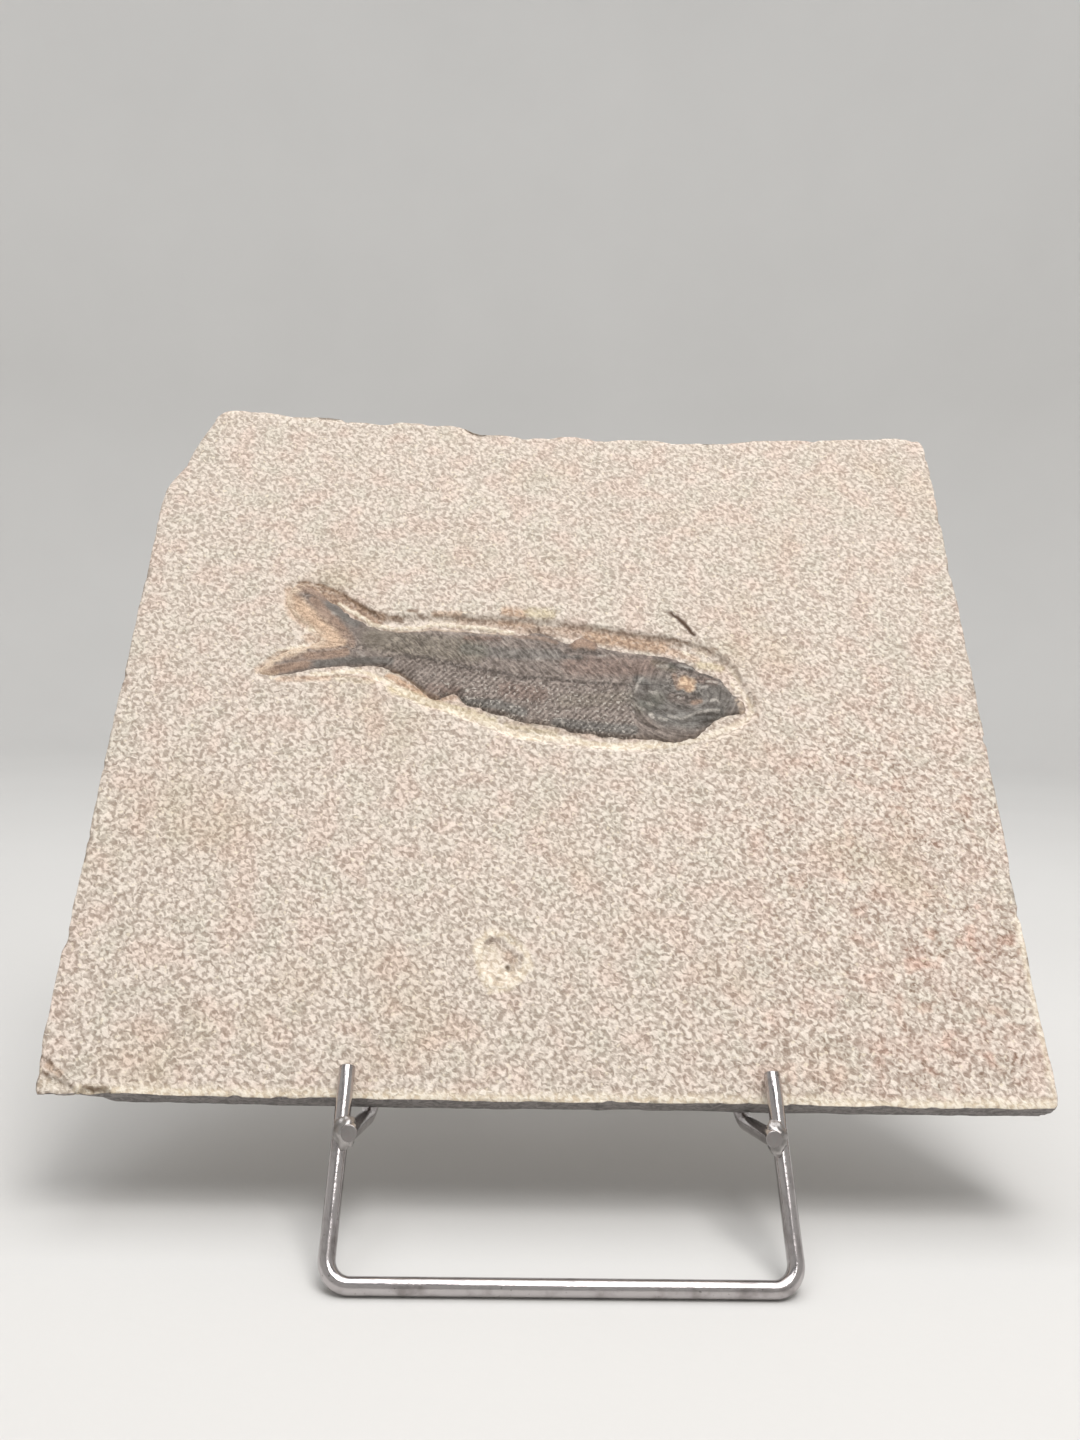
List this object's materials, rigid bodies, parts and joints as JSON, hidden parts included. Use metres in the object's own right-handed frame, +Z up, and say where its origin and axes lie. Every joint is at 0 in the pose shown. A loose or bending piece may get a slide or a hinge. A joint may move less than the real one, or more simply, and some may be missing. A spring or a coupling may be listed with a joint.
{
  "type": "fossil fish slab on a wire stand",
  "caption": "Thin limestone slab with a small fossil fish in a shallow trench, leaning back on a bent-wire display stand.",
  "frame": {"origin": "centre of the footprint of the object's bounding box, on the surface that the stand's two foot bars rest on", "axes": "+Z up, -Y towards the viewer of the fish, +X towards the fish's head"},
  "size_m": [0.205, 0.122, 0.179],
  "materials": {
    "limestone": "matte, finely mottled",
    "fossil_bone": "satin, fine scale rows",
    "plated_wire": "bright plated, lightly pitted"
  },
  "bodies": {
    "root": {"limestone_slab": "limestone", "fossil_fish": "fossil_bone", "front_wire": "plated_wire", "back_wire": "plated_wire", "rear_leg_wire": "plated_wire"}
  },
  "joints": []
}
